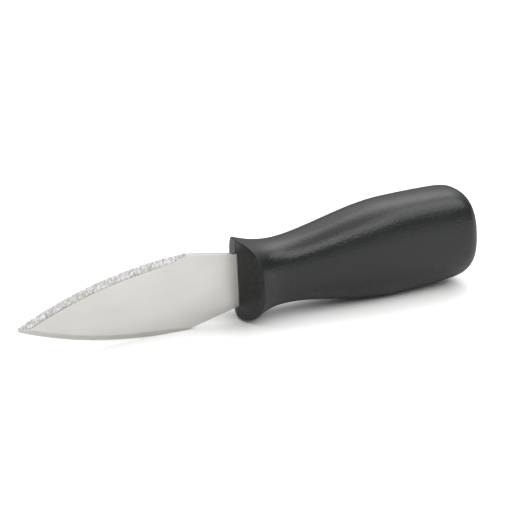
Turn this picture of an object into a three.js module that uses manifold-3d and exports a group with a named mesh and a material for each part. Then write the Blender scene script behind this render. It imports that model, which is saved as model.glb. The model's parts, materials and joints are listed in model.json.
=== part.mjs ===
// Mussel knife: a short, broad, leaf-shaped blade whose hidden tang is held in a one-piece moulded handle.
// It is drawn along its own axis, with the handle's front at zero, and then stood on its edge as on a table.
// Millimetres, +Z up, +X from the blade to the butt, and the blade lies in the XZ plane.

import * as THREE from 'three';
import { mergeVertices } from 'three/addons/utils/BufferGeometryUtils.js';
import Module from 'manifold-3d';

const wasm = await Module();
wasm.setup();

// Blade
const POINT_LENGTH = 56.5;        // curved part, from the tip to the widest place
const SHANK_LENGTH = 18.5;        // straight part, from the widest place to the handle
const BLADE_HEIGHT = 25.7;        // at the widest place
const ROOT_HEIGHT = 18;           // where the blade goes into the handle
const BLADE_THICKNESS = 1.5;
const TIP_RADIUS = 0.9;
const EDGE_LAND = 0.3;            // thickness left at a ground edge
const UPPER_BEVEL = 2.4;          // width of the ground bevel on the upper edge
const LOWER_BEVEL = 1.8;          // width of the softer bevel on the lower edge
const GRIND_PAST_CORNER = 1.7;    // how far the bevels run on past the widest place
const GRIND_RUNOUT = 20;          // length over which they fade away there
const SPINE_CHAMFER = 0.2;        // broken edge of the unground shank

// Tang
const FACE_GRINDING = 0.05;       // taken off each face of the strip in front of the handle
const BARE_ROOT = 0.4;            // strip of full thickness that shows in front of the handle
const TANG_HEIGHT = 12;
const SHOULDER_DEPTH = 6;         // how far the full root goes into the handle
const TANG_END_COVER = 30;        // solid handle behind the tang
const KEY_HOLE_DIAMETER = 5;
const KEY_HOLE_SPACING = 20;
const KEY_HOLE_TO_END = 12;       // from the last hole's centre to the tang's end
const TANG_CLEARANCE = 0.3;       // all round, between the tang and the handle

// Handle
const FLARE_COVER = 4.5;          // handle above and below the blade's root, at the front
const FLARE_WIDTH = 25.3;
const FLARE_LENGTH = 14.7;        // from the front to the waist
const WAIST_HEIGHT = 21.6;
const WAIST_WIDTH = 18.2;
const SWELL_LENGTH = 41.2;        // from the waist to the belly
const BELLY_HEIGHT = 33;
const BELLY_WIDTH = 23.1;
const BELLY_LENGTH = 15.5;        // from the fullest place to where the end is rounded
const BELLY_CROWN = 1.3;          // how far the top and the bottom draw in from there to the butt
const BUTT_LENGTH = 14.6;         // rounded end
const FRONT_SETBACK = 3.75;       // how far the front's sides lie behind its middle
const SETBACK_FADE = 15.5;        // distance over which the setback dies out along the handle
const CREST_RADIUS = 0.5;         // rounding between the front and the sides
const PARTING_WIDTH = 0.6;        // parting line on the front
const PARTING_DEPTH = 0.8;
const PARTING_MARGIN = 1.1;       // from the end of the parting line to the crest

// Roundness of the curves
const RUNOUT_POWER = 4;           // more ends the bevels more bluntly
const SECTION_POWER = 2.46;       // 2 is an ellipse, more is squarer
const SETBACK_POWER = 1.24;
const SWELL_POWER = 0.92;         // less makes the handle swell nearer to the waist
const BUTT_PROFILE_POWER = 4.4;   // butt from the side: more keeps its height further back
const BUTT_PROFILE_ROOT = 3.3;    // more ends it more bluntly
const BUTT_PLAN_POWER = 7.3;      // butt from above: more keeps its sides flat further back
const BUTT_PLAN_ROOT = 2.9;

// Weight in grams for each cubic millimetre
const STEEL_DENSITY = 0.00775;
const PLASTIC_DENSITY = 0.00091;

// Fineness of the facets
const SECTION_POINTS = 48;
const TIP_STEPS = 4;
const POINT_STEPS = 26;
const FRONT_STEPS = 4;
const CREST_STEPS = 2;
const FLARE_STEPS = 7;
const SWELL_STEPS = 14;
const BELLY_STEPS = 5;
const BUTT_STEPS = 12;
const HOLE_STEPS = 8;

// Measures that follow
const CORNER_X = -SHANK_LENGTH;
const TIP_CENTRE_X = CORNER_X - POINT_LENGTH + TIP_RADIUS;
const FLARE_HEIGHT = ROOT_HEIGHT + 2 * FLARE_COVER;
const BELLY_START = FLARE_LENGTH + SWELL_LENGTH;
const BUTT_START = BELLY_START + BELLY_LENGTH;
const HANDLE_LENGTH = BUTT_START + BUTT_LENGTH;
const TANG_THICKNESS = BLADE_THICKNESS + 2 * FACE_GRINDING;
const TANG_END = HANDLE_LENGTH - TANG_END_COVER;

// The blade's edge is one large arc, level at the widest place, that runs smoothly into the tip's small arc.
const EDGE_RUN = CORNER_X - TIP_CENTRE_X;
const EDGE_RISE = BLADE_HEIGHT / 2;
const EDGE_RADIUS = (EDGE_RUN ** 2 + EDGE_RISE ** 2 - TIP_RADIUS ** 2) / (2 * (EDGE_RISE - TIP_RADIUS));
const EDGE_ANGLE = Math.asin(EDGE_RUN / (EDGE_RADIUS - TIP_RADIUS));
const TIP_ANGLE = Math.PI / 2 - EDGE_ANGLE;

const { clamp, lerp, smoothstep } = THREE.MathUtils;

// Closed skin through rings of equal count, from low X to high X, with a fan of faces over each end.
function loft(rings) {
  const count = rings[0].length;
  const points = rings.flat();
  const faces = [];
  for (let row = 0; row < rings.length - 1; row += 1) {
    for (let i = 0; i < count; i += 1) {
      const here = row * count + i;
      const beside = row * count + ((i + 1) % count);
      faces.push(here, beside, here + count);
      faces.push(beside, beside + count, here + count);
    }
  }
  for (const row of [0, rings.length - 1]) {
    const middle = points.length;
    const sum = rings[row].reduce((total, point) => total.add(point), new THREE.Vector3());
    points.push(sum.divideScalar(count));
    for (let i = 0; i < count; i += 1) {
      const here = row * count + i;
      const beside = row * count + ((i + 1) % count);
      faces.push(...(row === 0 ? [middle, beside, here] : [middle, here, beside]));
    }
  }
  const geometry = new THREE.BufferGeometry().setFromPoints(points);
  geometry.setIndex(faces);
  return geometry;
}

// A closed geometry as a solid for joining and cutting.
function toSolid(geometry) {
  const bare = geometry.clone();
  bare.deleteAttribute('normal');
  bare.deleteAttribute('uv');
  const merged = mergeVertices(bare);
  const vertProperties = new Float32Array(merged.attributes.position.array);
  const triVerts = new Uint32Array(merged.index.array);
  return new wasm.Manifold(new wasm.Mesh({ numProp: 3, vertProperties, triVerts }));
}

// A solid back as a geometry.
function toGeometry(solid) {
  const { vertProperties, triVerts } = solid.getMesh();
  const geometry = new THREE.BufferGeometry();
  geometry.setAttribute('position', new THREE.BufferAttribute(vertProperties, 3));
  geometry.setIndex(new THREE.BufferAttribute(triVerts, 1));
  geometry.computeVertexNormals();
  return geometry;
}

// A plate in the blade's plane, centred on it, from an outline drawn in X and Z.
function plate(outline, thickness) {
  const geometry = new THREE.ExtrudeGeometry(outline, {
    depth: thickness,
    bevelEnabled: false,
    curveSegments: HOLE_STEPS,
  });
  geometry.rotateX(Math.PI / 2);
  geometry.translate(0, thickness / 2, 0);
  return geometry;
}

// Half of the blade's height at a place on its axis.
function bladeHalfHeight(x) {
  if (x < TIP_CENTRE_X - TIP_RADIUS * Math.sin(EDGE_ANGLE)) {
    return Math.sqrt(TIP_RADIUS ** 2 - (x - TIP_CENTRE_X) ** 2);
  }
  if (x < CORNER_X) {
    return Math.sqrt(EDGE_RADIUS ** 2 - (x - CORNER_X) ** 2) - EDGE_RADIUS + EDGE_RISE;
  }
  return lerp(ROOT_HEIGHT, BLADE_HEIGHT, x / CORNER_X) / 2;
}

// Section of the blade: an edge land, a bevel and a flat on each side of the blade's plane.
function bladeSection(x) {
  const half = bladeHalfHeight(x);
  const runout = clamp((CORNER_X + GRIND_PAST_CORNER - x) / GRIND_RUNOUT, 0, 1);
  const ground = 1 - (1 - runout) ** RUNOUT_POWER;
  const upperBevel = lerp(SPINE_CHAMFER, UPPER_BEVEL, ground);
  const lowerBevel = lerp(SPINE_CHAMFER, LOWER_BEVEL, ground);
  const room = Math.min(1, (2 * half) / (upperBevel + lowerBevel + SPINE_CHAMFER));
  const edge = lerp(BLADE_THICKNESS / 2 - SPINE_CHAMFER, EDGE_LAND / 2, ground);
  const flat = lerp(edge, BLADE_THICKNESS / 2, room);
  const side = [
    [edge, -half],
    [flat, -half + lowerBevel * room],
    [flat, half - upperBevel * room],
    [edge, half],
  ];
  const otherSide = side.map(([y, z]) => [-y, z]).reverse();
  return [...side, ...otherSide].map(([y, z]) => new THREE.Vector3(x, y, z));
}

// Outline of the tang in the blade's plane, from a front at frontX, grown all round by an allowance.
function tangOutline(frontX, allowance) {
  const root = ROOT_HEIGHT / 2 + allowance;
  const half = TANG_HEIGHT / 2 + allowance;
  const shoulder = SHOULDER_DEPTH + allowance;
  const endCentre = TANG_END - TANG_HEIGHT / 2;
  const outline = new THREE.Shape();
  outline.moveTo(frontX, -root);
  outline.lineTo(shoulder, -root);
  outline.lineTo(shoulder, -half);
  outline.lineTo(endCentre, -half);
  outline.absarc(endCentre, 0, half, -Math.PI / 2, Math.PI / 2, false);
  outline.lineTo(shoulder, half);
  outline.lineTo(shoulder, root);
  outline.lineTo(frontX, root);
  outline.closePath();
  const lastHole = TANG_END - KEY_HOLE_TO_END;
  for (const holeX of [lastHole - KEY_HOLE_SPACING, lastHole]) {
    const hole = new THREE.Path();
    hole.absarc(holeX, 0, KEY_HOLE_DIAMETER / 2 - allowance, 0, 2 * Math.PI, true);
    outline.holes.push(hole);
  }
  return outline;
}

// The blade and its tang, one piece of strip, ground thinner in front of the handle.
function makeBlade() {
  const stations = [];
  for (let i = 1; i < TIP_STEPS; i += 1) {
    stations.push(TIP_CENTRE_X - TIP_RADIUS * Math.cos((TIP_ANGLE * i) / TIP_STEPS));
  }
  for (let i = POINT_STEPS; i > 0; i -= 1) {
    stations.push(CORNER_X - EDGE_RADIUS * Math.sin((EDGE_ANGLE * i) / POINT_STEPS));
  }
  stations.push(CORNER_X, CORNER_X + GRIND_PAST_CORNER / 2, CORNER_X + GRIND_PAST_CORNER, BARE_ROOT);
  const blade = toSolid(loft(stations.map(bladeSection)));
  const tang = toSolid(plate(tangOutline(-BARE_ROOT, 0), TANG_THICKNESS));
  return toGeometry(blade.add(tang));
}

// Half of a handle measure at a distance behind the front. The power and the root round the butt.
function handleHalf(distance, flare, waist, belly, crown, power, root) {
  if (distance < FLARE_LENGTH) {
    return lerp(waist, flare, (1 - distance / FLARE_LENGTH) ** 2) / 2;
  }
  if (distance < BELLY_START) {
    const share = ((distance - FLARE_LENGTH) / SWELL_LENGTH) ** SWELL_POWER;
    return lerp(waist, belly, smoothstep(share, 0, 1)) / 2;
  }
  const drawnIn = crown * ((distance - BELLY_START) / (HANDLE_LENGTH - BELLY_START)) ** 2;
  const share = Math.max(0, distance - BUTT_START) / BUTT_LENGTH;
  return (belly / 2 - drawnIn) * (1 - share ** power) ** (1 / root);
}

// Ring of the handle's skin, bowed so that the front's middle leads. Scale draws it in over the front face.
function handleRing(distance, scale) {
  const halfHeight = scale * handleHalf(
    distance, FLARE_HEIGHT, WAIST_HEIGHT, BELLY_HEIGHT, BELLY_CROWN, BUTT_PROFILE_POWER, BUTT_PROFILE_ROOT,
  );
  const halfWidth = scale * handleHalf(
    distance, FLARE_WIDTH, WAIST_WIDTH, BELLY_WIDTH, 0, BUTT_PLAN_POWER, BUTT_PLAN_ROOT,
  );
  const setback = FRONT_SETBACK * (1 - smoothstep(distance, 0, SETBACK_FADE));
  const bend = (value) => Math.sign(value) * Math.abs(value) ** (2 / SECTION_POWER);
  const ring = [];
  for (let i = 0; i < SECTION_POINTS; i += 1) {
    const angle = ((i + 0.5) / SECTION_POINTS) * 2 * Math.PI;
    const y = halfWidth * bend(Math.cos(angle));
    const z = halfHeight * bend(Math.sin(angle));
    const x = distance + setback * (Math.abs(y) / (FLARE_WIDTH / 2)) ** SETBACK_POWER;
    ring.push(new THREE.Vector3(x, y, z));
  }
  return ring;
}

// The handle, with a cavity that fits the tang and leaves a peg through each of its holes.
function makeHandle() {
  const crestScale = (shrink) => 1 - shrink / (FLARE_WIDTH / 2);
  const rings = [];
  for (let i = 1; i < FRONT_STEPS; i += 1) {
    rings.push(handleRing(0, (crestScale(CREST_RADIUS) * i) / FRONT_STEPS));
  }
  for (let i = 0; i < CREST_STEPS; i += 1) {
    const angle = ((Math.PI / 2) * i) / CREST_STEPS;
    const back = CREST_RADIUS * (1 - Math.cos(angle));
    const shrink = CREST_RADIUS * (1 - Math.sin(angle));
    rings.push(handleRing(back, crestScale(shrink)));
  }
  for (let i = 0; i < FLARE_STEPS; i += 1) {
    rings.push(handleRing(lerp(CREST_RADIUS, FLARE_LENGTH, i / FLARE_STEPS), 1));
  }
  for (let i = 0; i < SWELL_STEPS; i += 1) {
    rings.push(handleRing(lerp(FLARE_LENGTH, BELLY_START, i / SWELL_STEPS), 1));
  }
  for (let i = 0; i < BELLY_STEPS; i += 1) {
    rings.push(handleRing(lerp(BELLY_START, BUTT_START, i / BELLY_STEPS), 1));
  }
  for (let i = 0; i < BUTT_STEPS; i += 1) {
    const angle = ((Math.PI / 2) * i) / BUTT_STEPS;
    rings.push(handleRing(BUTT_START + BUTT_LENGTH * Math.sin(angle), 1));
  }
  const cavity = plate(tangOutline(-CREST_RADIUS, TANG_CLEARANCE), TANG_THICKNESS + 2 * TANG_CLEARANCE);
  const partingHeight = FLARE_HEIGHT - 2 * PARTING_MARGIN;
  const parting = new THREE.BoxGeometry(2 * PARTING_DEPTH, PARTING_WIDTH, partingHeight);
  return toGeometry(toSolid(loft(rings)).subtract(toSolid(cavity)).subtract(toSolid(parting)));
}

// Volume of a closed geometry and that volume times its middle's X, summed over its faces.
function volumeMoment(geometry) {
  const { position } = geometry.attributes;
  const corners = [new THREE.Vector3(), new THREE.Vector3(), new THREE.Vector3()];
  let volume = 0;
  let moment = 0;
  for (let i = 0; i < geometry.index.count; i += 3) {
    corners.forEach((corner, k) => corner.fromBufferAttribute(position, geometry.index.getX(i + k)));
    const [a, b, c] = corners;
    const wedge = a.dot(b.clone().cross(c)) / 6;
    volume += wedge;
    moment += (wedge * (a.x + b.x + c.x)) / 4;
  }
  return { volume, moment };
}

// Slope of the line that the knife stands on: the part of its lower hull that is under its balance point.
function restingSlope(geometries, balanceX) {
  const points = geometries.flatMap(({ attributes: { position } }) =>
    Array.from({ length: position.count }, (_, i) => new THREE.Vector2(position.getX(i), position.getZ(i))));
  points.sort((p, q) => p.x - q.x || p.y - q.y);
  const hull = [];
  for (const point of points) {
    const turnsDown = () => {
      const [p, q] = hull.slice(-2);
      return q.clone().sub(p).cross(point.clone().sub(p)) <= 0;
    };
    while (hull.length > 1 && turnsDown()) {
      hull.pop();
    }
    hull.push(point);
  }
  const after = hull.findIndex((point) => point.x > balanceX);
  return hull[after].clone().sub(hull[after - 1]).angle();
}

const bladeGeometry = makeBlade();
const handleGeometry = makeHandle();

const blade = new THREE.Mesh(
  bladeGeometry,
  new THREE.MeshStandardMaterial({ color: 0xd4d3cf, metalness: 1, roughness: 0.35 }),
);
blade.name = 'blade';

const handle = new THREE.Mesh(
  handleGeometry,
  new THREE.MeshStandardMaterial({ color: 0x1d1e1e, metalness: 0, roughness: 0.5 }),
);
handle.name = 'handle';

const steel = volumeMoment(bladeGeometry);
const plastic = volumeMoment(handleGeometry);
const weight = steel.volume * STEEL_DENSITY + plastic.volume * PLASTIC_DENSITY;
const balanceX = (steel.moment * STEEL_DENSITY + plastic.moment * PLASTIC_DENSITY) / weight;

// The knife stands on the blade's lower edge and on the belly, centred over the origin.
const knife = new THREE.Group();
knife.add(blade, handle);
knife.rotation.y = restingSlope([bladeGeometry, handleGeometry], balanceX);
const box = new THREE.Box3().setFromObject(knife, true);
const middle = box.getCenter(new THREE.Vector3());
knife.position.set(-middle.x, -middle.y, -box.min.z);

export default knife;
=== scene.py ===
"""Mussel knife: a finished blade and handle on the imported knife, standing in a plain white studio."""

import json
import math

import bmesh
import bpy
from bpy.props import FloatProperty, FloatVectorProperty, PointerProperty
from mathutils import Matrix, Vector, noise


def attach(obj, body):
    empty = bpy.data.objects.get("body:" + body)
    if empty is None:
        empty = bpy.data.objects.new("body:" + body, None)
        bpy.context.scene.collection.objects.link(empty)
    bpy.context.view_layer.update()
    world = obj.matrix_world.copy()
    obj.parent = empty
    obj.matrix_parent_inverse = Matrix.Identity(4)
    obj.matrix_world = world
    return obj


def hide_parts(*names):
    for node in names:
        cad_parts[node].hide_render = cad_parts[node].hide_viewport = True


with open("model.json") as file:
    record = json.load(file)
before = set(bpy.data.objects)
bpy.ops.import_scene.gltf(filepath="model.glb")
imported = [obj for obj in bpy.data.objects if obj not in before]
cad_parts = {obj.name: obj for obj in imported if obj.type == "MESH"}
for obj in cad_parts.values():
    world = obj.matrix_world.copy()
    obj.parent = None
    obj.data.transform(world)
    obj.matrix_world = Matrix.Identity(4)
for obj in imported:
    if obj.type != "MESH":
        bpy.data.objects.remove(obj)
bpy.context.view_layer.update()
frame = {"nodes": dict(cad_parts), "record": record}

bl_info = {
    "name": "Mussel knife",
    "version": (1, 0, 0),
    "blender": (4, 5, 0),
    "location": "View3D > Sidebar > Mussel knife",
    "description": "Builds a mussel knife's ground blade and moulded handle, and a studio round them",
    "category": "Object",
}

MM = 0.001

# Distance along the knife from the record's near_flat mount to the handle's front
FLAT_TO_HANDLE = 32 * MM

# Soft lights: degrees round the knife from straight in front, degrees over the floor, and side in metres
SOFTBOXES = {"front": (18, 41, 0.5), "back": (128, 60, 0.75), "right": (60, 47, 0.6)}
LAMP_DISTANCE = 1.2

# Share of the studio's brightness, by degrees over the horizon, in front of the knife and behind it:
# the pale floor's far end lies in front, the walls are darker, and the ceiling is bright
FRONT_BANDS = ((0, 0.66), (13, 0.3), (26, 0.13), (38, 0.5), (55, 0.9), (90, 1.0))
BACK_BANDS = ((0, 0.1), (12, 0.1), (20, 0.5), (30, 0.9), (55, 0.9), (90, 1.0))

# Where the front bands pass into the back ones, as shares of the way to the back
BANDS_MEET = (-0.1, 0.4)

# Where the studio's darker right wall begins, as a share of the way to the right,
# and the share of the light that is left at its far end
WALL_STARTS, WALL_SHARE = 0.5, 0.25

# Width of the camera's sensor in millimetres, and the nearest thing that it shows in metres
SENSOR_WIDTH = 36
NEAREST_SEEN = 0.01

# The range that holds most of a noise's values
NOISE_RANGE = (0.3, 0.7)

# Sockets of a mix node that is set to colours
MIX_SHARE, MIX_LOW, MIX_HIGH, MIX_RESULT = 0, 6, 7, 2

# Share of the lower bevel over which it is rounded into the flat
BEVEL_SHOULDER = 0.25

# Width of the bevel line's strip where the line is not scored
BARE_LINE = 0.02 * MM

# Places of the bevels' finishes among the blade's materials, after the satin one
UPPER_FINISH, LINE_FINISH, LOWER_FINISH = 1, 2, 3

# Grinding marks: lengths in millimetres along and across the bevel, and a layer of the noise
MARK_PATCH = (4, 2, 3.7)
MARK_COARSE = (0.6, 0.7, 1.3)
MARK_FINE = (0.35, 0.5, 8.1)

# Shares of the marks' full depth: middle and spread of the patches, middle of the marks, and the fine ones
PATCH_LEVEL, PATCH_SPREAD = 0.75, 0.5
MARK_LEVEL, FINE_SHARE = 0.5, 0.5

# The marks are at full depth at one part in this many from the flat, and leave this share of the edge
MARK_ONSET = 4
EDGE_LEFT = 0.5

# The tang's shoulders slope over its height divided by this
SHOULDER_PARTS = 4

# Length of a keying hole's cutter, in thicknesses of the blade
CUTTER_REACH = 4

# Waves of the sunken moulding: length in millimetres, waves round the section, a layer of the noise,
# and the share of the flare's length where they begin
WAVE_LENGTH, WAVES_ROUND, WAVE_LAYER = 16, 2.2, 5
WAVE_START = 0.5

# How far round its section the rows of the handle's front face go
FACE_REACH = math.radians(81)

# Edges that turn by more than this look sharp
SHARP_STEEL = math.radians(28)
SHARP_PLASTIC = math.radians(40)

# Places nearer than this count as one
TOUCHING = MM / 100

# Steps in the meshes
MARK_STEP = 0.14 * MM       # stations along the ground edge, close enough for the grinding marks
SHANK_STEPS = 24
TIP_STEPS = 9
BEVEL_STEPS = 10
SOFT_BEVEL_STEPS = 9
FLAT_STEPS = 6
OUTLINE_STEP = math.radians(2.6)
FACE_COLUMNS = 18
CREST_STEPS = 8
FLARE_STEPS = 30
SWELL_STEPS = 66
BELLY_STEPS = 14
BUTT_STEPS = 44
HOLE_SIDES = 32
FLOOR_SQUARES = 4


def linear(hex_colour):
    """Linear colour from an sRGB hex value such as #C8C7C3."""
    shares = [int(hex_colour[i:i + 2], 16) / 255 for i in (1, 3, 5)]
    return tuple(c / 12.92 if c <= 0.04045 else ((c + 0.055) / 1.055) ** 2.4 for c in shares)


def length(name, millimetres, description):
    """A length that a user can change, given here in millimetres."""
    return FloatProperty(name=name, description=description, default=millimetres * MM,
                         min=0, precision=5, unit="LENGTH")


def colour(name, hex_colour, description):
    """A colour that a user can change, given here as an sRGB hex value."""
    return FloatVectorProperty(name=name, description=description, default=linear(hex_colour),
                               size=3, min=0, max=1, subtype="COLOR")


def lerp(low, high, share):
    """The value at a share of the way from low to high."""
    return low + (high - low) * share


def smooth(share):
    """Eases a share from 0 to 1, level at both ends."""
    share = min(1, max(0, share))
    return share * share * (3 - 2 * share)


class BladeSettings(bpy.types.PropertyGroup):
    """Sizes and colours of the blade."""

    point_length: length("Point length", 56.5, "Curved part, from the tip to the widest place")
    shank_length: length("Shank length", 18.5, "Straight part, from the widest place to the handle")
    height: length("Height", 25.7, "Height at the widest place")
    root_height: length("Root height", 18, "Height where the blade goes into the handle")
    thickness: length("Thickness", 1.5, "Thickness between the ground faces")
    tip_radius: length("Tip radius", 0.9, "Rounding of the tip")
    edge_land: length("Edge land", 0.3, "Thickness left at a ground edge")
    upper_bevel: length("Upper bevel", 2.4, "Width of the cross-ground bevel on the upper edge")
    lower_bevel: length("Lower bevel", 1.8, "Width of the softer bevel on the lower edge")
    grind_past: length("Grind past corner", 1.7, "How far the bevels run past the widest place")
    grind_runout: length("Grind run-out", 20, "Length over which the bevels fade away")
    runout_power: FloatProperty(name="Run-out power", default=4, min=1, max=8,
                                description="More ends the bevels more bluntly")
    spine_chamfer: length("Spine chamfer", 0.06, "Broken edge of the unground shank")
    line_width: length("Bevel line", 0.2, "Width of the scored line where the bevel meets the flat")
    line_depth: length("Bevel line depth", 0.07, "Depth of that line")
    line_start: length("Bevel line start", 2.2, "From the tip to where the line begins")
    line_end: length("Bevel line end", 58, "From the tip to where the line has faded away")
    line_fade: length("Bevel line fade", 18, "Length over which the line fades away")
    mark_depth: length("Mark depth", 0.065, "Depth of the grinding marks on the bevel")
    mark_start: length("Mark start", 14, "From the tip to where the marks grow coarse")
    mark_growth: length("Mark growth", 12, "Length over which they grow")
    face_grinding: length("Face grinding", 0.05, "Taken off each face in front of the handle")
    bare_root: length("Bare root", 0.4, "Strip of full thickness in front of the handle")
    tang_height: length("Tang height", 12, "Height of the tang inside the handle")
    tang_length: length("Tang length", 56, "How far the tang goes into the handle")
    shoulder_depth: length("Shoulder depth", 6, "How far the full root goes into the handle")
    hole_diameter: length("Keying hole", 5, "Diameter of the two keying holes in the tang")
    hole_spacing: length("Hole spacing", 20, "Distance between the keying holes")
    hole_to_end: length("Hole to end", 12, "From the last hole's centre to the tang's end")
    satin: colour("Satin steel", "#C5C4C0", "Colour of the satin flats")
    satin_shade: colour("Satin shade", "#BEBDB9", "Darker clouds in the satin flats")
    ground: colour("Ground steel", "#F6F5F3", "Colour of the upper bevel")
    ground_shade: colour("Ground shade", "#AAA9A7", "Colour in the upper bevel's grinding marks")
    # The lower bevel's two tones are darker than the satin partly as painted shade, standing in for the
    # shaded floor that the bevel mirrors.
    fine_ground: colour("Fine ground steel", "#BBBAB6", "Colour of the lower bevel")
    fine_ground_shade: colour("Fine ground shade", "#ADACA8", "Colour in the lower bevel's grinding marks")
    # The scored line's dark colour is painted shade, standing in for the shade in its narrow groove.
    line: colour("Bevel line", "#4E4C49", "Colour of the scored line")


class HandleSettings(bpy.types.PropertyGroup):
    """Sizes and colours of the handle."""

    flare_cover: length("Flare cover", 4.5, "Handle above and below the blade's root, at the front")
    flare_width: length("Flare width", 25.3, "Width at the front")
    flare_length: length("Flare length", 14.7, "From the front to the waist")
    waist_height: length("Waist height", 21.6, "Height at the waist")
    waist_width: length("Waist width", 18.2, "Width at the waist")
    swell_length: length("Swell length", 41.2, "From the waist to the belly")
    belly_height: length("Belly height", 33, "Height at the belly")
    belly_width: length("Belly width", 23.1, "Width at the belly")
    belly_length: length("Belly length", 15.5, "From the fullest place to where the end is rounded")
    belly_crown: length("Belly crown", 1.3, "How far the top and bottom draw in from there to the butt")
    butt_length: length("Butt length", 14.6, "Length of the rounded end")
    setback: length("Front setback", 3.75, "How far the front's sides lie behind its middle")
    setback_fade: length("Setback fade", 15.5, "Distance over which the setback dies out")
    crest_radius: length("Crest radius", 0.5, "Rounding between the front and the sides")
    tang_gap: length("Tang gap", 0.1, "Gap between the tang and the handle")
    lip: length("Slot lip", 0.15, "Rounding of the slot that holds the blade")
    parting_width: length("Parting width", 0.5, "Width of the parting line on the front")
    parting_depth: length("Parting depth", 0.9, "Depth of the parting line")
    parting_margin: length("Parting margin", 1.1, "From the parting line's end to the crest")
    waviness: length("Waviness", 0.05, "Slight sinking of the thick moulding")
    section_power: FloatProperty(name="Section power", default=2.46, min=1.5, max=5,
                                 description="2 is an ellipse, more is squarer")
    setback_power: FloatProperty(name="Setback power", default=1.24, min=1, max=4,
                                 description="How the front's setback grows to the sides")
    swell_power: FloatProperty(name="Swell power", default=0.92, min=0.6, max=2,
                               description="Less makes the handle swell nearer to the waist")
    profile_power: FloatProperty(name="Butt profile power", default=4.4, min=1, max=20,
                                 description="From the side, more keeps the butt's height further back")
    profile_root: FloatProperty(name="Butt profile root", default=3.3, min=1, max=5,
                                description="From the side, more ends the butt more bluntly")
    plan_power: FloatProperty(name="Butt plan power", default=7.3, min=1, max=20,
                              description="From above, more keeps the butt's sides flat further back")
    plan_root: FloatProperty(name="Butt plan root", default=2.9, min=1, max=5,
                             description="From above, more ends the butt more bluntly")
    plastic: colour("Plastic", "#141616", "Colour of the moulded handle")
    plastic_shade: colour("Plastic shade", "#101212", "Darker clouds in the plastic")


class StudioSettings(bpy.types.PropertyGroup):
    """Camera, floor and lights."""

    azimuth: FloatProperty(name="Azimuth", default=math.radians(-27.16), subtype="ANGLE",
                           description="Camera's turn round the knife, from straight in front of its flat")
    elevation: FloatProperty(name="Elevation", default=math.radians(20.52), subtype="ANGLE",
                             description="Camera's height angle")
    distance: length("Distance", 723, "From the camera to the point that it looks at")
    aim: FloatVectorProperty(name="Aim", default=(1.07 * MM, -0.57 * MM, 20.94 * MM), size=3, precision=5,
                             subtype="TRANSLATION", description="The point that the camera looks at")
    lens: FloatProperty(name="Lens", default=159.2, min=1, unit="CAMERA",
                        description="Focal length for a 36 mm wide picture")
    floor_size: length("Floor size", 8000, "Side of the square floor")
    floor: colour("Floor", "#FAFAF9", "Colour of the floor")
    sky_left: FloatProperty(name="Left sky", default=0.3, min=0,
                            description="Strength of the even light from the left")
    sky_right: FloatProperty(name="Right sky", default=2.8, min=0,
                             description="Strength of the even light from the right")
    front_power: FloatProperty(name="Front power", default=2.8, min=0, unit="POWER",
                               description="Power of the soft light above the front")
    back_power: FloatProperty(name="Back power", default=3.8, min=0, unit="POWER",
                              description="Power of the soft light above the back")
    right_power: FloatProperty(name="Right power", default=2.6, min=0, unit="POWER",
                               description="Power of the soft light above the right")


class KnifeSettings(bpy.types.PropertyGroup):
    """All settings of the mussel knife."""

    blade: PointerProperty(type=BladeSettings)
    handle: PointerProperty(type=HandleSettings)
    studio: PointerProperty(type=StudioSettings)


# Placing

def knife_placing():
    """Matrix from the knife's own axis, with the handle's front at zero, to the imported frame."""
    # The mount on the near flat and the last corner of the tang both lie on the axis.
    mount = next(m for m in frame["record"]["mounts"] if m["name"] == "near_flat")
    start = Vector((mount["pos_m"][0], 0, mount["pos_m"][2]))
    tang_end = max((vertex.co for vertex in frame["nodes"]["blade"].data.vertices), key=lambda co: co.x)
    along = Vector((tang_end.x - start.x, 0, tang_end.z - start.z)).normalized()
    turn = Matrix.Rotation(-math.atan2(along.z, along.x), 4, "Y")
    return Matrix.Translation(start + along * FLAT_TO_HANDLE) @ turn


def add_piece(name, mesh, materials, node_name):
    """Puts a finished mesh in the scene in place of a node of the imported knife."""
    piece = bpy.data.objects.new(name, mesh)
    bpy.context.scene.collection.objects.link(piece)
    mesh.transform(knife_placing())
    for material in materials:
        mesh.materials.append(material)
    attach(piece, "root")
    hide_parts(node_name)
    return piece


# Materials

def add_node(tree, kind, inputs=None, **settings):
    """Adds a shader node with its settings, and sets or links its inputs by name or number."""
    made = tree.nodes.new(kind)
    for name, value in settings.items():
        setattr(made, name, value)
    for name, value in (inputs or {}).items():
        if isinstance(value, bpy.types.NodeSocket):
            tree.links.new(value, made.inputs[name])
        else:
            made.inputs[name].default_value = value
    return made


def new_material(name):
    """An empty material with a surface shader, and its node tree."""
    material = bpy.data.materials.new(name)
    material.use_nodes = True
    tree = material.node_tree
    shader = next(n for n in tree.nodes if n.type == "BSDF_PRINCIPLED")
    return material, tree, shader


def stretched_noise(tree, sizes_mm, detail):
    """Noise whose patches have the given sizes along, across and up the knife."""
    place = add_node(tree, "ShaderNodeTexCoord")
    turned = add_node(tree, "ShaderNodeMapping", {
        "Vector": place.outputs["Object"], "Rotation": knife_placing().to_euler(),
        "Scale": [size * MM for size in sizes_mm]}, vector_type="TEXTURE")
    made = add_node(tree, "ShaderNodeTexNoise", {
        "Vector": turned.outputs[0], "Scale": 1.0, "Detail": detail})
    return made.outputs["Fac"]


def mapped(tree, value, low, high):
    """A noise value spread over a range."""
    made = add_node(tree, "ShaderNodeMapRange", {
        "Value": value, "From Min": NOISE_RANGE[0], "From Max": NOISE_RANGE[1],
        "To Min": low, "To Max": high})
    return made.outputs["Result"]


def two_tone(tree, value, low_colour, high_colour):
    """A colour between two, by a noise value."""
    made = add_node(tree, "ShaderNodeMix", {
        MIX_SHARE: mapped(tree, value, 0, 1), MIX_LOW: (*low_colour, 1), MIX_HIGH: (*high_colour, 1)},
        data_type="RGBA")
    return made.outputs[MIX_RESULT]


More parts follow.
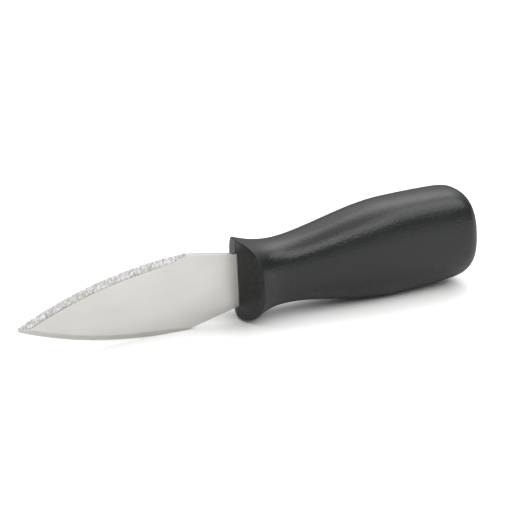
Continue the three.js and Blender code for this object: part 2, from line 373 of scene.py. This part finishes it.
def satin_steel(blade):
    """Stainless steel, satin polished: soft grey, with a fine long grain that blurs what it mirrors."""
    material, tree, shader = new_material("stainless_steel_satin_polished")
    # The real grain is about 0.05 mm wide, too fine to show, so it is drawn 0.25 mm wide.
    grain = stretched_noise(tree, (14, 0.25, 0.25), 3)
    clouds = stretched_noise(tree, (22, 9, 9), 2)
    relief = add_node(tree, "ShaderNodeBump", {"Height": grain, "Strength": 0.06, "Distance": 0.02 * MM})
    tree.links.new(two_tone(tree, clouds, blade.satin_shade, blade.satin), shader.inputs["Base Color"])
    tree.links.new(mapped(tree, grain, 0.34, 0.41), shader.inputs["Roughness"])
    tree.links.new(relief.outputs[0], shader.inputs["Normal"])
    shader.inputs["Metallic"].default_value = 1
    return material


def ground_steel(blade):
    """Stainless steel, cross-ground on a coarse wheel: bright and dark scratches across the bevel."""
    material, tree, shader = new_material("stainless_steel_cross_ground")
    scratches = stretched_noise(tree, (0.6, 3, 1.1), 3)
    patches = stretched_noise(tree, (3.5, 5, 5), 2)
    relief = add_node(tree, "ShaderNodeBump", {
        "Height": scratches, "Strength": 0.5, "Distance": 0.05 * MM})
    tones = two_tone(tree, scratches, blade.ground_shade, blade.ground)
    tree.links.new(tones, shader.inputs["Base Color"])
    tree.links.new(mapped(tree, patches, 0.22, 0.42), shader.inputs["Roughness"])
    tree.links.new(relief.outputs[0], shader.inputs["Normal"])
    shader.inputs["Metallic"].default_value = 1
    return material


def fine_ground_steel_with_painted_shade(blade):
    """Stainless steel, ground on a fine wheel: duller than the flats, with faint long lines. Its darker
    colour is partly painted shade, standing in for the shaded floor that the downturned bevel mirrors.
    """
    material, tree, shader = new_material("stainless_steel_fine_ground")
    # The real lines are about 0.05 mm wide, too fine to show, so they are drawn 0.3 mm wide.
    lines = stretched_noise(tree, (9, 0.3, 0.3), 3)
    relief = add_node(tree, "ShaderNodeBump", {"Height": lines, "Strength": 0.1, "Distance": 0.02 * MM})
    tones = two_tone(tree, lines, blade.fine_ground_shade, blade.fine_ground)
    tree.links.new(tones, shader.inputs["Base Color"])
    tree.links.new(mapped(tree, lines, 0.38, 0.46), shader.inputs["Roughness"])
    tree.links.new(relief.outputs[0], shader.inputs["Normal"])
    shader.inputs["Metallic"].default_value = 1
    return material


def scored_steel_painted_shade(blade):
    """Stainless steel, scored by the wheel's edge: a dull line whose dark colour is painted shade in its
    groove, broken into dashes at random.
    """
    material, tree, shader = new_material("stainless_steel_scored")
    shade_dashes = stretched_noise(tree, (0.8, 0.8, 0.8), 2)
    tree.links.new(two_tone(tree, shade_dashes, blade.line, blade.satin_shade), shader.inputs["Base Color"])
    tree.links.new(mapped(tree, shade_dashes, 0.4, 0.6), shader.inputs["Roughness"])
    shader.inputs["Metallic"].default_value = 1
    return material


def moulded_plastic(handle):
    """Polypropylene, moulded in a spark-eroded mould: black, with fine pebbled grain and a waxy sheen."""
    material, tree, shader = new_material("polypropylene_moulded_fine_grain")
    # The mould's grain is about 0.1 mm, too fine to show, so it is drawn 0.7 mm wide.
    grain = stretched_noise(tree, (1.2, 0.7, 0.7), 2)
    clouds = stretched_noise(tree, (9, 5, 5), 3)
    relief = add_node(tree, "ShaderNodeBump", {"Height": grain, "Strength": 1.0, "Distance": 0.08 * MM})
    tones = two_tone(tree, clouds, handle.plastic_shade, handle.plastic)
    tree.links.new(tones, shader.inputs["Base Color"])
    # Seen edge on, the grain's flanks scatter the shine, so the roughness rises there.
    edge_on = add_node(tree, "ShaderNodeLayerWeight", {"Blend": 0.5})
    gloss = add_node(tree, "ShaderNodeMapRange", {
        "Value": edge_on.outputs["Facing"], "From Min": 0.35, "From Max": 0.95,
        "To Min": mapped(tree, clouds, 0.24, 0.3), "To Max": 0.68})
    tree.links.new(gloss.outputs["Result"], shader.inputs["Roughness"])
    tree.links.new(relief.outputs[0], shader.inputs["Normal"])
    shader.inputs["IOR"].default_value = 1.49
    # The grain's hollows shade a part of the shine.
    shader.inputs["Specular IOR Level"].default_value = 0.4
    return material


def matt_floor(studio):
    """Matt white paper: even and pale, with no shine."""
    material, _, shader = new_material("paper_matt_white")
    shader.inputs["Base Color"].default_value = (*studio.floor, 1)
    shader.inputs["Roughness"].default_value = 1
    shader.inputs["Specular IOR Level"].default_value = 0
    return material


# Blade

def grit(along, across, lengths):
    """Noise at a place on the bevel, for lengths along and across it and a layer."""
    along_length, across_length, layer = lengths
    return noise.noise(Vector((along / along_length, across / across_length, layer)))


class BladeShape:
    """The blade's outline and sections, along its own axis."""

    def __init__(self, sizes):
        self.sizes = sizes
        self.corner = -sizes.shank_length
        self.tip = self.corner - sizes.point_length
        self.tip_centre = self.tip + sizes.tip_radius
        run = self.corner - self.tip_centre
        self.rise = sizes.height / 2
        radius = sizes.tip_radius
        self.edge_radius = (run ** 2 + self.rise ** 2 - radius ** 2) / (2 * (self.rise - radius))
        self.edge_angle = math.asin(run / (self.edge_radius - radius))
        self.arc_start = self.tip_centre - radius * math.sin(self.edge_angle)

    def half_height(self, x):
        """Half the height of the blade or its tang at a place along the axis."""
        sizes = self.sizes
        if x < self.arc_start:
            return math.sqrt(max(0, sizes.tip_radius ** 2 - (x - self.tip_centre) ** 2))
        if x < self.corner:
            return math.sqrt(self.edge_radius ** 2 - (x - self.corner) ** 2) - self.edge_radius + self.rise
        if x < 0:
            return lerp(sizes.root_height, sizes.height, x / self.corner) / 2
        if x < sizes.shoulder_depth:
            return sizes.root_height / 2
        end_centre = sizes.tang_length - sizes.tang_height / 2
        if x < end_centre:
            slope = (x - sizes.shoulder_depth) / sizes.tang_height * SHOULDER_PARTS
            return lerp(sizes.root_height, sizes.tang_height, min(1, slope)) / 2
        return math.sqrt(max(0, (sizes.tang_height / 2) ** 2 - (x - end_centre) ** 2))

    def stations(self):
        """Places along the axis where the sections stand, from the tip to the tang's end."""
        sizes = self.sizes
        places = []
        turn = math.pi / 2 - self.edge_angle
        for i in range(1, TIP_STEPS):
            places.append(self.tip_centre - sizes.tip_radius * math.cos(turn * i / TIP_STEPS))
        ground_end = self.corner + sizes.grind_past
        for start, end in ((self.arc_start, self.corner), (self.corner, ground_end)):
            count = round((end - start) / MARK_STEP)
            places += [lerp(start, end, i / count) for i in range(count)]
        places += [lerp(ground_end, -sizes.bare_root, i / SHANK_STEPS) for i in range(SHANK_STEPS + 1)]
        places += [-sizes.bare_root + sizes.face_grinding, sizes.shoulder_depth]
        shoulder_end = sizes.shoulder_depth + sizes.tang_height / SHOULDER_PARTS
        end_centre = sizes.tang_length - sizes.tang_height / 2
        places += [shoulder_end, end_centre]
        places += [end_centre + sizes.tang_height / 2 * math.sin(math.pi / 2 * i / TIP_STEPS)
                   for i in range(1, TIP_STEPS)]
        return sorted(places)

    def ground(self, x):
        """Share of the full grind: whole along the curve, and running out past the widest place."""
        run = (self.corner + self.sizes.grind_past - x) / self.sizes.grind_runout
        return 1 - (1 - min(1, max(0, run))) ** self.sizes.runout_power

    def mark(self, x, depth):
        """Depth of the grinding marks at a place on the bevel, some way in from the edge."""
        slope = math.asin(min(1, max(0, (self.corner - x) / self.edge_radius)))
        along = (x + depth * math.sin(slope)) / MM
        across = depth / MM
        coarseness = smooth((x - self.tip - self.sizes.mark_start) / self.sizes.mark_growth)
        patch = PATCH_LEVEL + PATCH_SPREAD * grit(along, across, MARK_PATCH)
        coarse = grit(along, across, MARK_COARSE) * coarseness
        fine = grit(along, across, MARK_FINE) * FINE_SHARE
        return self.sizes.mark_depth * max(0, patch) * (MARK_LEVEL + coarse + fine)

    def line(self, x):
        """Share of the scored line's full width at a place: it begins near the tip and fades away."""
        sizes = self.sizes
        begun = smooth((x - self.tip - sizes.line_start) / sizes.upper_bevel)
        return begun * smooth((self.tip + sizes.line_end - x) / sizes.line_fade)

    def side(self, x):
        """Half a section from the lower edge to the upper one, as distances out from the plane and up."""
        sizes = self.sizes
        half = self.half_height(x)
        ground = self.ground(x)
        upper = lerp(sizes.spine_chamfer, sizes.upper_bevel, ground)
        lower = lerp(sizes.spine_chamfer, sizes.lower_bevel, ground)
        room = min(1, 2 * half / (upper + lower * (1 + BEVEL_SHOULDER) + sizes.spine_chamfer))
        face = sizes.thickness / 2 + (sizes.face_grinding if x > -sizes.bare_root else 0)
        edge = lerp(face - sizes.spine_chamfer, sizes.edge_land / 2, ground)
        flat = lerp(edge, face, room)
        upper *= room
        lower *= room
        line = self.line(x) * ground * room
        line_half = lerp(BARE_LINE, sizes.line_width, line) / 2
        inner = half - upper
        points = [(0.0, -half)]
        for i in range(SOFT_BEVEL_STEPS + 1):
            share = (1 + BEVEL_SHOULDER) * i / SOFT_BEVEL_STEPS
            past = max(0, share - 1 + BEVEL_SHOULDER)
            rounded = share - past ** 2 / (4 * BEVEL_SHOULDER)
            points.append((lerp(edge, flat, rounded), -half + lower * share))
        soft_top = points[-1][1]
        for i in range(1, FLAT_STEPS + 1):
            points.append((flat, lerp(soft_top, inner - line_half, i / FLAT_STEPS)))
        points.append((flat - sizes.line_depth * line, inner))
        for i in range(BEVEL_STEPS + 1):
            share = i / BEVEL_STEPS
            depth = (upper - line_half) * (1 - share)
            marked = self.mark(x, depth) * ground * room * min(1, MARK_ONSET * share)
            points.append((max(edge * EDGE_LEFT, lerp(flat, edge, share) - marked), half - depth))
        points.append((0.0, half))
        return points

    def mesh(self, name):
        """The whole blade and tang, with a finish for each face."""
        sections = []
        for x in self.stations():
            side = self.side(x)
            near = [Vector((x, -out, up)) for out, up in side]
            far = [Vector((x, out, up)) for out, up in reversed(side[1:-1])]
            sections.append(near + far)
        made = bmesh.new()
        rows = [[made.verts.new(point) for point in section] for section in sections]
        count = len(rows[0])
        side_count = len(self.side(self.corner))
        soft_end = round(SOFT_BEVEL_STEPS / (1 + BEVEL_SHOULDER))
        line_step = SOFT_BEVEL_STEPS + FLAT_STEPS + 1
        for row, following in zip(rows, rows[1:]):
            for i in range(count):
                beside = (i + 1) % count
                face = made.faces.new((row[i], following[i], following[beside], row[beside]))
                step = i if i < side_count - 1 else count - 1 - i
                if row[0].co.x >= self.corner + self.sizes.grind_past:
                    continue
                if step >= line_step:
                    face.material_index = LINE_FINISH if step < line_step + 2 else UPPER_FINISH
                elif step <= soft_end:
                    face.material_index = LOWER_FINISH
        for row, x in ((rows[0], self.tip), (rows[-1], self.sizes.tang_length)):
            end = made.verts.new((x, 0, 0))
            for i in range(count):
                made.faces.new((row[i], row[(i + 1) % count], end))
        bmesh.ops.recalc_face_normals(made, faces=made.faces)
        mesh = bpy.data.meshes.new(name)
        made.to_mesh(mesh)
        made.free()
        return mesh


def cut_keying_holes(piece, sizes):
    """Drills the two keying holes through the tang."""
    cutter_mesh = bpy.data.meshes.new("keying_hole_cutter")
    made = bmesh.new()
    last = sizes.tang_length - sizes.hole_to_end
    for x in (last - sizes.hole_spacing, last):
        turned = Matrix.Translation((x, 0, 0)) @ Matrix.Rotation(math.pi / 2, 4, "X")
        bmesh.ops.create_cone(made, cap_ends=True, segments=HOLE_SIDES, radius1=sizes.hole_diameter / 2,
                              radius2=sizes.hole_diameter / 2, depth=sizes.thickness * CUTTER_REACH,
                              matrix=turned)
    made.to_mesh(cutter_mesh)
    made.free()
    cutter = bpy.data.objects.new("keying_hole_cutter", cutter_mesh)
    bpy.context.scene.collection.objects.link(cutter)
    cutter.matrix_world = knife_placing()
    drill = piece.modifiers.new("keying_holes", "BOOLEAN")
    drill.operation = "DIFFERENCE"
    drill.object = cutter
    bpy.context.view_layer.update()
    drilled = bpy.data.meshes.new_from_object(piece.evaluated_get(bpy.context.evaluated_depsgraph_get()))
    piece.modifiers.remove(drill)
    bpy.data.objects.remove(cutter)
    piece.data = drilled


def keep_line_crisp(mesh, line_finish):
    """Marks both sides of the scored line as sharp, so that it never bends the shading of the flat."""
    finishes = {}
    for polygon in mesh.polygons:
        for key in polygon.edge_keys:
            finishes.setdefault(key, set()).add(polygon.material_index)
    for edge in mesh.edges:
        beside = finishes[edge.key]
        if line_finish in beside and len(beside) > 1:
            edge.use_edge_sharp = True


class MUSSELKNIFE_OT_blade(bpy.types.Operator):
    """Makes the blade with its bevels, grinding marks and hidden tang"""

    bl_idname = "musselknife.blade"
    bl_label = "Make blade"

    def execute(self, context):
        sizes = context.scene.mussel_knife.blade
        mesh = BladeShape(sizes).mesh("blade_finished")
        finishes = [satin_steel(sizes), ground_steel(sizes), scored_steel_painted_shade(sizes), fine_ground_steel_with_painted_shade(sizes)]
        piece = add_piece("blade_finished", mesh, finishes, "blade")
        cut_keying_holes(piece, sizes)
        piece.data.shade_smooth()
        piece.data.set_sharp_from_angle(angle=SHARP_STEEL)
        keep_line_crisp(piece.data, LINE_FINISH)
        return {"FINISHED"}


# Handle

class HandleShape:
    """The handle's rings and front face, along its own axis."""

    def __init__(self, sizes, blade):
        self.sizes = sizes
        self.blade = blade
        self.flare_height = blade.root_height + 2 * sizes.flare_cover
        self.belly_start = sizes.flare_length + sizes.swell_length
        self.butt_start = self.belly_start + sizes.belly_length

    def half(self, distance, flare, waist, belly, crown, power, root):
        """Half of a measure at a distance behind the front. The power and the root round the butt."""
        sizes = self.sizes
        if distance < sizes.flare_length:
            return lerp(waist, flare, (1 - distance / sizes.flare_length) ** 2) / 2
        if distance < self.belly_start:
            share = ((distance - sizes.flare_length) / sizes.swell_length) ** sizes.swell_power
            return lerp(waist, belly, smooth(share)) / 2
        drawn_in = crown * ((distance - self.belly_start) / (sizes.belly_length + sizes.butt_length)) ** 2
        share = min(1, max(0, distance - self.butt_start) / sizes.butt_length)
        return (belly / 2 - drawn_in) * (1 - share ** power) ** (1 / root)

    def halves(self, distance):
        """Half the width and half the height at a distance behind the front."""
        sizes = self.sizes
        return (self.half(distance, sizes.flare_width, sizes.waist_width, sizes.belly_width,
                          0, sizes.plan_power, sizes.plan_root),
                self.half(distance, self.flare_height, sizes.waist_height, sizes.belly_height,
                          sizes.belly_crown, sizes.profile_power, sizes.profile_root))

    def point(self, distance, y, z):
        """A point of the skin, with the front's sides set back."""
        sizes = self.sizes
        fade = 1 - smooth(distance / sizes.setback_fade)
        setback = sizes.setback * fade * (abs(y) / (sizes.flare_width / 2)) ** sizes.setback_power
        return Vector((distance + setback, y, z))

    def outline_width(self, half_width, half_height, z):
        """Half width of a section at a height in it."""
        power = self.sizes.section_power
        return half_width * max(0, 1 - (abs(z) / half_height) ** power) ** (1 / power)

    def face_lines(self):
        """Rows and columns of the front face: heights, and distances out from the blade's plane."""
        sizes = self.sizes
        scale = 1 - sizes.crest_radius / (sizes.flare_width / 2)
        half_width, half_height = (half * scale for half in self.halves(0))
        slot_top = self.blade.root_height / 2 + sizes.tang_gap
        slot_side = self.blade.thickness / 2 + self.blade.face_grinding + sizes.tang_gap
        groove_end = self.flare_height / 2 - sizes.parting_margin
        marked = [slot_top, slot_top + sizes.lip, groove_end - sizes.parting_width, groove_end]
        steps = round(FACE_REACH / OUTLINE_STEP)
        spread = [half_height * math.sin(FACE_REACH * i / steps) ** (2 / sizes.section_power)
                  for i in range(1, steps + 1)]
        spread = [z for z in spread if min(abs(z - m) for m in marked) > sizes.lip]
        upper = sorted(marked + spread)
        rows = [-z for z in reversed(upper)] + [0.0] + upper
        inner = [sizes.parting_width / 2, slot_side, slot_side + sizes.lip]
        return rows, inner, slot_top, slot_side, half_width, half_height

    def front(self, made):
        """The front face with its slot and parting line. Gives back its rim's points and their turns."""
        sizes = self.sizes
        rows, inner, slot_top, slot_side, half_width, half_height = self.face_lines()
        groove_end = self.flare_height / 2 - sizes.parting_margin
        power = sizes.section_power
        grid = []
        for row, z in enumerate(rows):
            width = self.outline_width(half_width, half_height, z)
            outer = [lerp(inner[-1], width, i / FACE_COLUMNS) for i in range(1, FACE_COLUMNS + 1)]
            right = inner + outer
            columns = [-y for y in reversed(right)] + [0.0] + right
            line = []
            for y in columns:
                up = z
                if row in (0, len(rows) - 1):
                    share = (1 - (abs(y) / half_width) ** power) ** (1 / power)
                    up = math.copysign(half_height * share, z)
                point = self.point(0, y, up)
                if abs(y) < slot_side + sizes.lip / 2 and abs(z) < slot_top + sizes.lip / 2:
                    point.x += sizes.lip
                elif y == 0 and slot_top < abs(z) < groove_end:
                    point.x += sizes.parting_depth
                line.append(made.verts.new(point))
            grid.append(line)
        for low, high, z_low, z_high in zip(grid, grid[1:], rows, rows[1:]):
            for i in range(len(low) - 1):
                middle_y = (low[i].co.y + low[i + 1].co.y) / 2
                if abs(middle_y) < slot_side and abs(z_low + z_high) / 2 < slot_top:
                    continue
                made.faces.new((low[i], high[i], high[i + 1], low[i + 1]))
        right_side = [line[-1] for line in grid]
        left_side = [line[0] for line in grid]
        rim = grid[0][:-1] + right_side[:-1] + grid[-1][:0:-1] + left_side[:0:-1]
        turns = []
        for vertex in rim:
            across = abs(vertex.co.y / half_width) ** (power / 2)
            height = abs(vertex.co.z / half_height) ** (power / 2)
            turns.append(math.atan2(math.copysign(height, vertex.co.z),
                                    math.copysign(across, vertex.co.y)))
        return rim, turns

    def ring(self, made, distance, scale, turns):
        """A ring of the skin, very slightly uneven behind the flare, as thick mouldings are."""
        sizes = self.sizes
        half_width, half_height = (half * scale for half in self.halves(distance))
        share = 2 / sizes.section_power
        sink = sizes.waviness * smooth(distance / sizes.flare_length - WAVE_START)
        fade = min(1, 2 * half_height / sizes.butt_length)
        ring = []
        for turn in turns:
            across = math.copysign(abs(math.cos(turn)) ** share, math.cos(turn))
            height = math.copysign(abs(math.sin(turn)) ** share, math.sin(turn))
            point = self.point(distance, half_width * across, half_height * height)
            wave = noise.noise(Vector((distance / MM / WAVE_LENGTH, across * WAVES_ROUND,
                                       height * WAVES_ROUND + WAVE_LAYER)))
            inward = Vector((0, across, height)) * (sink * (wave - 1) / 2)
            ring.append(made.verts.new(point + inward * fade))
        return ring

    def distances(self):
        """Places along the handle where the rings behind the crest stand."""
        sizes = self.sizes
        places = []
        for start, end, steps in ((sizes.crest_radius, sizes.flare_length, FLARE_STEPS),
                                  (sizes.flare_length, self.belly_start, SWELL_STEPS),
                                  (self.belly_start, self.butt_start, BELLY_STEPS)):
            places += [lerp(start, end, i / steps) for i in range(steps)]
        places += [self.butt_start + sizes.butt_length * math.sin(math.pi / 2 * i / BUTT_STEPS)
                   for i in range(BUTT_STEPS)]
        return places

    def pocket(self, made):
        """Deepens the slot in the front to hold the tang, and closes its end."""
        rim = [edge for edge in made.edges if edge.is_boundary
               and edge.verts[0].co.x < self.sizes.setback / 2
               and abs(edge.verts[0].co.y) < self.blade.thickness]
        for depth in (self.blade.shoulder_depth, self.blade.tang_length + self.sizes.tang_gap):
            grown = bmesh.ops.extrude_edge_only(made, edges=rim)["geom"]
            for vertex in (item for item in grown if isinstance(item, bmesh.types.BMVert)):
                vertex.co.x = depth
            rim = [item for item in grown if isinstance(item, bmesh.types.BMEdge)
                   and all(abs(vertex.co.x - depth) < TOUCHING for vertex in item.verts)]
        bmesh.ops.contextual_create(made, geom=rim)

    def mesh(self, name):
        """The whole handle: its front, crest, skin and butt, and the pocket for the tang."""
        sizes = self.sizes
        made = bmesh.new()
        rim, turns = self.front(made)
        rings = [rim]
        for i in range(1, CREST_STEPS):
            angle = math.pi / 2 * i / CREST_STEPS
            back = sizes.crest_radius * (1 - math.cos(angle))
            shrink = sizes.crest_radius * (1 - math.sin(angle))
            rings.append(self.ring(made, back, 1 - shrink / (sizes.flare_width / 2), turns))
        rings += [self.ring(made, distance, 1, turns) for distance in self.distances()]
        count = len(turns)
        for ring, following in zip(rings, rings[1:]):
            for i in range(count):
                beside = (i + 1) % count
                made.faces.new((ring[i], ring[beside], following[beside], following[i]))
        end = made.verts.new(Vector((self.butt_start + sizes.butt_length, 0, 0)))
        for i in range(count):
            made.faces.new((rings[-1][i], rings[-1][(i + 1) % count], end))
        self.pocket(made)
        bmesh.ops.recalc_face_normals(made, faces=made.faces)
        mesh = bpy.data.meshes.new(name)
        made.to_mesh(mesh)
        made.free()
        mesh.shade_smooth()
        mesh.set_sharp_from_angle(angle=SHARP_PLASTIC)
        return mesh


class MUSSELKNIFE_OT_handle(bpy.types.Operator):
    """Makes the moulded handle with its flared front, slot and parting line"""

    bl_idname = "musselknife.handle"
    bl_label = "Make handle"

    def execute(self, context):
        settings = context.scene.mussel_knife
        mesh = HandleShape(settings.handle, settings.blade).mesh("handle_finished")
        add_piece("handle_finished", mesh, [moulded_plastic(settings.handle)], "handle")
        return {"FINISHED"}


# Studio

def direction(azimuth, elevation):
    """Unit vector from the knife, for an azimuth from straight in front of its flat and an elevation."""
    level = math.cos(elevation)
    return Vector((math.sin(azimuth) * level, -math.cos(azimuth) * level, math.sin(elevation)))


def add_softbox(name, azimuth, elevation, size, power):
    """A square soft light over the knife and turned to it, at angles in degrees."""
    light = bpy.data.lights.new(name, "AREA")
    light.shape = "SQUARE"
    light.size = size
    light.energy = power
    lamp = bpy.data.objects.new(name, light)
    bpy.context.scene.collection.objects.link(lamp)
    way = direction(math.radians(azimuth), math.radians(elevation))
    lamp.location = way * LAMP_DISTANCE
    lamp.rotation_euler = (-way).to_track_quat("-Z", "Y").to_euler()


def sky_bands(sky, height, shares):
    """Greys of the studio's walls and ceiling, by the height of the way that is looked."""
    made = add_node(sky, "ShaderNodeValToRGB", {"Fac": height})
    for _ in range(len(shares) - 2):
        made.color_ramp.elements.new(0.5)
    for stop, (lift, share) in zip(made.color_ramp.elements, shares):
        stop.position = math.sin(math.radians(lift))
        stop.color = (share, share, share, 1)
    return made.outputs["Color"]


def add_floor(scene, studio):
    """The paper that the knife stands on."""
    made = bmesh.new()
    bmesh.ops.create_grid(made, x_segments=FLOOR_SQUARES, y_segments=FLOOR_SQUARES,
                          size=studio.floor_size / 2)
    mesh = bpy.data.meshes.new("floor")
    made.to_mesh(mesh)
    made.free()
    mesh.materials.append(matt_floor(studio))
    floor = bpy.data.objects.new("floor", mesh)
    scene.collection.objects.link(floor)


def add_sky(scene, studio):
    """The studio's even light: bands by height, dim at the left and bright up to the right wall."""
    world = bpy.data.worlds.new("studio_white")
    scene.world = world
    world.use_nodes = True
    sky = world.node_tree
    background = next(n for n in sky.nodes if n.type == "BACKGROUND")
    way = add_node(sky, "ShaderNodeTexCoord")
    parts = add_node(sky, "ShaderNodeSeparateXYZ", {0: way.outputs["Generated"]})
    behind = add_node(sky, "ShaderNodeMapRange", {
        "Value": parts.outputs["Y"], "From Min": BANDS_MEET[0], "From Max": BANDS_MEET[1]})
    bands = add_node(sky, "ShaderNodeMix", {
        MIX_SHARE: behind.outputs["Result"],
        MIX_LOW: sky_bands(sky, parts.outputs["Z"], FRONT_BANDS),
        MIX_HIGH: sky_bands(sky, parts.outputs["Z"], BACK_BANDS)}, data_type="RGBA")
    sides = add_node(sky, "ShaderNodeMapRange", {
        "Value": parts.outputs["X"], "From Min": -1.0,
        "To Min": studio.sky_left, "To Max": studio.sky_right})
    wall = add_node(sky, "ShaderNodeMapRange", {
        "Value": parts.outputs["X"], "From Min": WALL_STARTS, "To Min": 1.0, "To Max": WALL_SHARE})
    level = add_node(sky, "ShaderNodeMath", {0: sides.outputs["Result"], 1: wall.outputs["Result"]},
                     operation="MULTIPLY")
    sky.links.new(bands.outputs[MIX_RESULT], background.inputs["Color"])
    sky.links.new(level.outputs[0], background.inputs["Strength"])


def add_camera(scene, studio):
    """The photo's camera."""
    back = direction(studio.azimuth, studio.elevation)
    lens = bpy.data.cameras.new("photo_camera")
    lens.lens = studio.lens
    lens.sensor_width = SENSOR_WIDTH
    lens.clip_start = NEAREST_SEEN
    camera = bpy.data.objects.new("photo_camera", lens)
    scene.collection.objects.link(camera)
    camera.location = Vector(studio.aim) + back * studio.distance
    camera.rotation_euler = (-back).to_track_quat("-Z", "Y").to_euler()
    scene.camera = camera


class MUSSELKNIFE_OT_stage(bpy.types.Operator):
    """Sets the floor, the lights and the camera"""

    bl_idname = "musselknife.stage"
    bl_label = "Set stage"

    def execute(self, context):
        scene = context.scene
        studio = scene.mussel_knife.studio
        add_floor(scene, studio)
        add_sky(scene, studio)
        for place, (azimuth, elevation, size) in SOFTBOXES.items():
            add_softbox(place + "_softbox", azimuth, elevation, size, getattr(studio, place + "_power"))
        add_camera(scene, studio)
        scene.view_settings.view_transform = "Standard"
        return {"FINISHED"}


class MUSSELKNIFE_PT_panel(bpy.types.Panel):
    """Settings and steps of the mussel knife."""

    bl_idname = "MUSSELKNIFE_PT_panel"
    bl_label = "Mussel knife"
    bl_space_type = "VIEW_3D"
    bl_region_type = "UI"
    bl_category = "Mussel knife"

    def draw(self, context):
        settings = context.scene.mussel_knife
        steps = (("blade", "musselknife.blade"), ("handle", "musselknife.handle"),
                 ("studio", "musselknife.stage"))
        for group, step in steps:
            box = self.layout.box()
            for name in getattr(settings, group).__annotations__:
                box.prop(getattr(settings, group), name)
            box.operator(step)


CLASSES = (BladeSettings, HandleSettings, StudioSettings, KnifeSettings, MUSSELKNIFE_OT_blade,
           MUSSELKNIFE_OT_handle, MUSSELKNIFE_OT_stage, MUSSELKNIFE_PT_panel)


def register():
    for cls in CLASSES:
        bpy.utils.register_class(cls)
    bpy.types.Scene.mussel_knife = PointerProperty(type=KnifeSettings)


def unregister():
    del bpy.types.Scene.mussel_knife
    for cls in reversed(CLASSES):
        bpy.utils.unregister_class(cls)


def main():
    register()
    bpy.ops.musselknife.stage()
    bpy.ops.musselknife.blade()
    bpy.ops.musselknife.handle()


if __name__ == "__main__":
    main()
